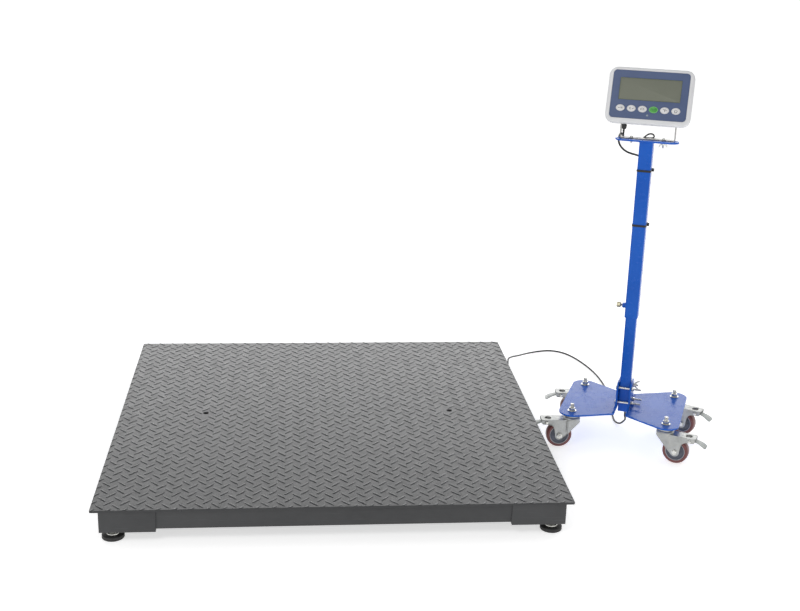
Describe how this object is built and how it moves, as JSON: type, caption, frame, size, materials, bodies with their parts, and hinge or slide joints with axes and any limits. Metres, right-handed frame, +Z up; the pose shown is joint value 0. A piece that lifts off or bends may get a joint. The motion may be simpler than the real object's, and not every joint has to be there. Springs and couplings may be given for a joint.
{
  "type": "platform shipping scale",
  "caption": "Low square load-cell platform of raised-lug plate with a rolling blue column stand, tilting keypad indicator, swivel casters with brakes and a floor cable.",
  "frame": {"origin": "bottom centre of the whole object's box, without the cord, on the floor", "axes": "+Z up, +X from the platform towards the stand, -Y the near side that the indicator's keys face (turned 23 degrees towards the platform)"},
  "size_m": [1.7792, 1.3634, 1.1171],
  "materials": {
    "deck_powder_coat": "textured charcoal powder coat on tread plate",
    "frame_powder_coat": "textured charcoal powder coat",
    "load_cell_alloy": "nickel-plated alloy steel",
    "foot_rubber": "black moulded rubber",
    "stainless_box": "brushed stainless sheet",
    "black_nylon": "black nylon",
    "cable_jacket": "black PVC jacket",
    "blue_powder_coat": "glossy blue powder coat",
    "plated_fastener": "bright zinc plate",
    "zinc_pressing": "zinc-plated pressed steel",
    "wheel_polyurethane": "maroon polyurethane tread on a grey hub",
    "pedal_coat": "pale grey-green moulded pedal",
    "bracket_steel": "brushed stainless strip",
    "housing_plastic": "off-white ABS",
    "keypad_overlay": "blue matt polyester overlay",
    "display_lens": "olive-grey LCD behind a clear lens",
    "key_white": "white key cap",
    "key_green": "green key cap",
    "circuit_laminate": "green circuit board",
    "battery_shell": "black sealed battery"
  },
  "bodies": {
    "platform": {"deck_plate": "deck_powder_coat", "side_channel_left": "frame_powder_coat", "side_channel_right": "frame_powder_coat", "cross_frame": "frame_powder_coat", "load_cell_fl": "load_cell_alloy", "load_cell_fr": "load_cell_alloy", "load_cell_bl": "load_cell_alloy", "load_cell_br": "load_cell_alloy", "junction_box": "stainless_box", "platform_cable_gland": "black_nylon", "cord_floor": "cable_jacket"},
    "stand": {"base_wing_left": "blue_powder_coat", "base_wing_right": "blue_powder_coat", "clamp_bolt_front_lower": "plated_fastener", "clamp_bolt_front_upper": "plated_fastener", "clamp_bolt_rear_lower": "plated_fastener", "clamp_bolt_rear_upper": "plated_fastener", "lower_column_tube": "blue_powder_coat", "cord_riser": "cable_jacket", "caster_stem_fl": "plated_fastener", "caster_stem_fr": "plated_fastener", "caster_stem_bl": "plated_fastener", "caster_stem_br": "plated_fastener"},
    "column": {"upper_column_tube": "blue_powder_coat", "indicator_bracket": "bracket_steel", "cable_tie_lower": "black_nylon", "cable_tie_upper": "black_nylon", "cord_upper": "cable_jacket"},
    "clamp_screw": {"clamp_screw": "plated_fastener"},
    "indicator": {"front_case": "housing_plastic", "rear_case": "housing_plastic", "front_panel": "keypad_overlay", "display_window": "display_lens", "circuit_board": "circuit_laminate", "battery_pack": "battery_shell", "indicator_cable_gland": "black_nylon"},
    "tilt_knob_left": {"tilt_knob_left": "black_nylon"},
    "tilt_knob_right": {"tilt_knob_right": "black_nylon"},
    "foot_fl": {"foot_fl": "foot_rubber"},
    "caster_fl": {"caster_fork_fl": "zinc_pressing"},
    "wheel_fl": {"caster_wheel_fl": "wheel_polyurethane"},
    "pedal_fl": {"brake_pedal_fl": "pedal_coat"},
    "foot_fr": {"foot_fr": "foot_rubber"},
    "caster_fr": {"caster_fork_fr": "zinc_pressing"},
    "wheel_fr": {"caster_wheel_fr": "wheel_polyurethane"},
    "pedal_fr": {"brake_pedal_fr": "pedal_coat"},
    "foot_bl": {"foot_bl": "foot_rubber"},
    "caster_bl": {"caster_fork_bl": "zinc_pressing"},
    "wheel_bl": {"caster_wheel_bl": "wheel_polyurethane"},
    "pedal_bl": {"brake_pedal_bl": "pedal_coat"},
    "foot_br": {"foot_br": "foot_rubber"},
    "caster_br": {"caster_fork_br": "zinc_pressing"},
    "wheel_br": {"caster_wheel_br": "wheel_polyurethane"},
    "pedal_br": {"brake_pedal_br": "pedal_coat"},
    "key_1": {"key_1": "key_white"},
    "key_2": {"key_2": "key_white"},
    "key_3": {"key_3": "key_white"},
    "key_4": {"key_4": "key_green"},
    "key_5": {"key_5": "key_white"},
    "key_6": {"key_6": "key_white"}
  },
  "joints": [
    {"name": "foot_turn_fl", "type": "hinge", "parent": "platform", "child": "foot_fl", "pos_m": [-0.8385, -0.575, 0], "axis": [0, 0, 1], "range_deg": [-180, 180]},
    {"name": "foot_turn_fr", "type": "hinge", "parent": "platform", "child": "foot_fr", "pos_m": [0.2785, -0.575, 0], "axis": [0, 0, 1], "range_deg": [-180, 180]},
    {"name": "foot_turn_bl", "type": "hinge", "parent": "platform", "child": "foot_bl", "pos_m": [-0.8385, 0.575, 0], "axis": [0, 0, 1], "range_deg": [-180, 180]},
    {"name": "foot_turn_br", "type": "hinge", "parent": "platform", "child": "foot_br", "pos_m": [0.2785, 0.575, 0], "axis": [0, 0, 1], "range_deg": [-180, 180]},
    {"name": "stand_roll", "type": "slide", "parent": "platform", "child": "stand", "axis": [1, 0, 0], "range_m": [-0.008, 0.15], "deforming": ["cord_floor"]},
    {"name": "column_height", "type": "slide", "parent": "stand", "child": "column", "axis": [0, 0, 1], "range_m": [-0.15, 0.2], "deforming": ["cord_riser"]},
    {"name": "clamp_screw_turn", "type": "hinge", "parent": "column", "child": "clamp_screw", "pos_m": [0.58539, -0.00128, 0.4225], "axis": [0.9205, -0.3907, 0], "range_deg": [-180, 180]},
    {"name": "indicator_tilt", "type": "hinge", "parent": "column", "child": "indicator", "pos_m": [0.61534, -0.00748, 1.03], "axis": [-0.9205, 0.3907, 0], "range_deg": [-17, 40], "deforming": ["cord_upper"]},
    {"name": "tilt_knob_left_turn", "type": "hinge", "parent": "indicator", "child": "tilt_knob_left", "pos_m": [0.61534, -0.00748, 1.03], "axis": [0.9205, -0.3907, 0], "range_deg": [-120, 120]},
    {"name": "tilt_knob_right_turn", "type": "hinge", "parent": "indicator", "child": "tilt_knob_right", "pos_m": [0.61534, -0.00748, 1.03], "axis": [0.9205, -0.3907, 0], "range_deg": [-120, 120]},
    {"name": "key_1_press", "type": "slide", "parent": "indicator", "child": "key_1", "axis": [0.3716, 0.8755, -0.309], "range_m": [0, 0.0012], "stiffness_N_per_m": 300},
    {"name": "key_2_press", "type": "slide", "parent": "indicator", "child": "key_2", "axis": [0.3716, 0.8755, -0.309], "range_m": [0, 0.0012], "stiffness_N_per_m": 300},
    {"name": "key_3_press", "type": "slide", "parent": "indicator", "child": "key_3", "axis": [0.3716, 0.8755, -0.309], "range_m": [0, 0.0012], "stiffness_N_per_m": 300},
    {"name": "key_4_press", "type": "slide", "parent": "indicator", "child": "key_4", "axis": [0.3716, 0.8755, -0.309], "range_m": [0, 0.0012], "stiffness_N_per_m": 300},
    {"name": "key_5_press", "type": "slide", "parent": "indicator", "child": "key_5", "axis": [0.3716, 0.8755, -0.309], "range_m": [0, 0.0012], "stiffness_N_per_m": 300},
    {"name": "key_6_press", "type": "slide", "parent": "indicator", "child": "key_6", "axis": [0.3716, 0.8755, -0.309], "range_m": [0, 0.0012], "stiffness_N_per_m": 300},
    {"name": "caster_swivel_fl", "type": "hinge", "parent": "stand", "child": "caster_fl", "pos_m": [0.44182, -0.0631, 0], "axis": [0, 0, 1], "continuous": true},
    {"name": "wheel_spin_fl", "type": "hinge", "parent": "caster_fl", "child": "wheel_fl", "pos_m": [0.40584, -0.06184, 0.0381], "axis": [-0.0349, -0.9994, 0], "continuous": true},
    {"name": "brake_pedal_fl_lift", "type": "hinge", "parent": "caster_fl", "child": "pedal_fl", "pos_m": [0.36586, -0.06044, 0.0795], "axis": [0.0349, 0.9994, 0], "range_deg": [0, 12]},
    {"name": "caster_swivel_fr", "type": "hinge", "parent": "stand", "child": "caster_fr", "pos_m": [0.69588, -0.17094, 0], "axis": [0, 0, 1], "continuous": true},
    {"name": "wheel_spin_fr", "type": "hinge", "parent": "caster_fr", "child": "wheel_fr", "pos_m": [0.72674, -0.18948, 0.0381], "axis": [0.515, 0.8572, 0], "continuous": true},
    {"name": "brake_pedal_fr_lift", "type": "hinge", "parent": "caster_fr", "child": "pedal_fr", "pos_m": [0.76102, -0.21008, 0.0795], "axis": [-0.515, -0.8572, 0], "range_deg": [0, 12]},
    {"name": "caster_swivel_bl", "type": "hinge", "parent": "stand", "child": "caster_bl", "pos_m": [0.53012, 0.14494, 0], "axis": [0, 0, 1], "continuous": true},
    {"name": "wheel_spin_bl", "type": "hinge", "parent": "caster_bl", "child": "wheel_bl", "pos_m": [0.49426, 0.14808, 0.0381], "axis": [-0.0872, -0.9962, 0], "continuous": true},
    {"name": "brake_pedal_bl_lift", "type": "hinge", "parent": "caster_bl", "child": "pedal_bl", "pos_m": [0.45441, 0.15156, 0.0795], "axis": [0.0872, 0.9962, 0], "range_deg": [0, 12]},
    {"name": "caster_swivel_br", "type": "hinge", "parent": "stand", "child": "caster_br", "pos_m": [0.78418, 0.0371, 0], "axis": [0, 0, 1], "continuous": true},
    {"name": "wheel_spin_br", "type": "hinge", "parent": "caster_br", "child": "wheel_br", "pos_m": [0.81255, 0.01493, 0.0381], "axis": [0.6157, 0.788, 0], "continuous": true},
    {"name": "brake_pedal_br_lift", "type": "hinge", "parent": "caster_br", "child": "pedal_br", "pos_m": [0.84407, -0.00969, 0.0795], "axis": [-0.6157, -0.788, 0], "range_deg": [0, 12]}
  ]
}
